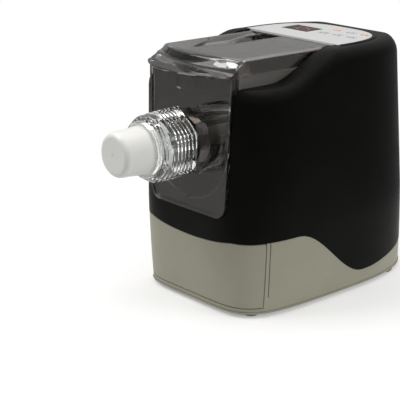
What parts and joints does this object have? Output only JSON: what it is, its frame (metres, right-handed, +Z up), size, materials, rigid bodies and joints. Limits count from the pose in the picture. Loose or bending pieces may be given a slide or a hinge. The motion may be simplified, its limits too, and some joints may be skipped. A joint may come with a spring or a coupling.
{
  "type": "electric pasta maker",
  "caption": "Countertop pasta maker with see-through lid, mixing bin, auger extruder with die and ring nut, control panel and storage drawer.",
  "frame": {"origin": "centre of the overall box, at the table under the feet", "axes": "+X to the right seen from the front, -Y out of the nozzle towards the user, +Z up"},
  "size_m": [0.2082, 0.4124, 0.2929],
  "materials": {
    "casing_black": "black ABS, semi-gloss moulding",
    "base_grey": "warm grey ABS, fine satin moulding",
    "white_plastic": "white POM, smooth moulding",
    "fascia_silver": "silver-white satin panel",
    "smoke_clear": "smoked clear styrene-acrylonitrile",
    "clear": "clear polycarbonate",
    "display": "dark display lens",
    "key_white": "pale grey key",
    "key_orange": "orange key",
    "dark_plastic": "dark grey plastic",
    "rubber_dark": "matte rubber",
    "silicone": "grey silicone",
    "steel": "turned steel",
    "bronze": "sintered bronze",
    "laminations": "varnished laminations",
    "copper_rotor": "wound rotor, varnished copper",
    "gear_nylon": "natural nylon",
    "board_green": "circuit board with parts",
    "gearbox_alloy": "glass-filled nylon"
  },
  "bodies": {
    "housing": {"upper_shell": "casing_black", "base_shell": "base_grey", "base_plate": "base_grey", "rubber_feet": "rubber_dark", "rear_cover": "casing_black", "power_inlet": "dark_plastic", "mixing_bin": "smoke_clear", "hinge_brackets": "casing_black", "control_panel": "fascia_silver", "display_window": "display", "control_board": "board_green", "lid_switch": "dark_plastic", "gearbox_housing": "gearbox_alloy", "gearbox_cover": "gearbox_alloy", "layshaft_pin": "steel", "shaft_bushes": "bronze", "shaft_seal": "silicone", "motor_stator": "laminations", "motor_front_shield": "steel", "motor_rear_shield": "steel", "motor_cradle": "steel", "power_board": "board_green", "drawer_rails": "dark_plastic", "case_screws": "steel"},
    "lid": {"lid": "smoke_clear", "hinge_pins": "steel"},
    "front_panel": {"front_panel": "smoke_clear", "panel_gasket": "silicone"},
    "die": {"extrusion_die": "white_plastic"},
    "nut": {"ring_nut": "clear"},
    "auger": {"auger_screw": "white_plastic", "mixing_paddle": "white_plastic", "drive_shaft": "steel", "output_gear": "gear_nylon"},
    "layshaft": {"intermediate_gear": "gear_nylon"},
    "rotor": {"rotor_core": "copper_rotor", "rotor_shaft": "steel", "motor_pinion": "steel", "cooling_fan": "dark_plastic"},
    "drawer": {"drawer_front": "base_grey", "drawer_tray": "dark_plastic"},
    "key_power": {"key_power": "key_orange"},
    "key_program": {"key_program": "key_white"},
    "key_start": {"key_start": "key_orange"},
    "key_down": {"key_down": "key_white"},
    "key_up": {"key_up": "key_white"},
    "key_pause": {"key_pause": "key_white"}
  },
  "joints": [
    {"name": "lid_hinge", "type": "hinge", "parent": "housing", "child": "lid", "pos_m": [0, 0.0456, 0.2863], "axis": [-1, 0, 0], "range_deg": [0, 95]},
    {"name": "front_panel_slide", "type": "slide", "parent": "housing", "child": "front_panel", "axis": [0, -1, 0], "range_m": [0, 0.12]},
    {"name": "die_slide", "type": "slide", "parent": "front_panel", "child": "die", "axis": [0, -1, 0], "range_m": [0, 0.0301]},
    {"name": "nut_turn", "type": "hinge", "parent": "die", "child": "nut", "pos_m": [0, -0.1579, 0.1926], "axis": [0, -1, 0], "range_deg": [0, 2160]},
    {"name": "motor_spin", "type": "hinge", "parent": "housing", "child": "rotor", "pos_m": [0, 0.1221, 0.10174], "axis": [0, 1, 0], "continuous": true},
    {"name": "layshaft_spin", "type": "hinge", "parent": "housing", "child": "layshaft", "pos_m": [0.035, 0.0771, 0.13198], "axis": [0, 1, 0], "continuous": true},
    {"name": "auger_spin", "type": "hinge", "parent": "housing", "child": "auger", "pos_m": [0, 0.0021, 0.1926], "axis": [0, 1, 0], "continuous": true},
    {"name": "drawer_slide", "type": "slide", "parent": "housing", "child": "drawer", "axis": [0, -1, 0], "range_m": [0, 0.11]},
    {"name": "power_press", "type": "slide", "parent": "housing", "child": "key_power", "axis": [0, 0, -1], "range_m": [0, 0.0005], "stiffness_N_per_m": 600, "springref_m": -0.0004},
    {"name": "program_press", "type": "slide", "parent": "housing", "child": "key_program", "axis": [0, 0, -1], "range_m": [0, 0.0005], "stiffness_N_per_m": 600, "springref_m": -0.0004},
    {"name": "start_press", "type": "slide", "parent": "housing", "child": "key_start", "axis": [0, 0, -1], "range_m": [0, 0.0005], "stiffness_N_per_m": 600, "springref_m": -0.0004},
    {"name": "down_press", "type": "slide", "parent": "housing", "child": "key_down", "axis": [0, 0, -1], "range_m": [0, 0.0005], "stiffness_N_per_m": 600, "springref_m": -0.0004},
    {"name": "up_press", "type": "slide", "parent": "housing", "child": "key_up", "axis": [0, 0, -1], "range_m": [0, 0.0005], "stiffness_N_per_m": 600, "springref_m": -0.0004},
    {"name": "pause_press", "type": "slide", "parent": "housing", "child": "key_pause", "axis": [0, 0, -1], "range_m": [0, 0.0005], "stiffness_N_per_m": 600, "springref_m": -0.0004}
  ],
  "couplings": [
    {"joint": "layshaft_spin", "follows": "motor_spin", "ratio": -0.23333},
    {"joint": "auger_spin", "follows": "motor_spin", "ratio": 0.058333},
    {"joint": "die_slide", "follows": "nut_turn", "m_per_rad": 0.00079577}
  ]
}
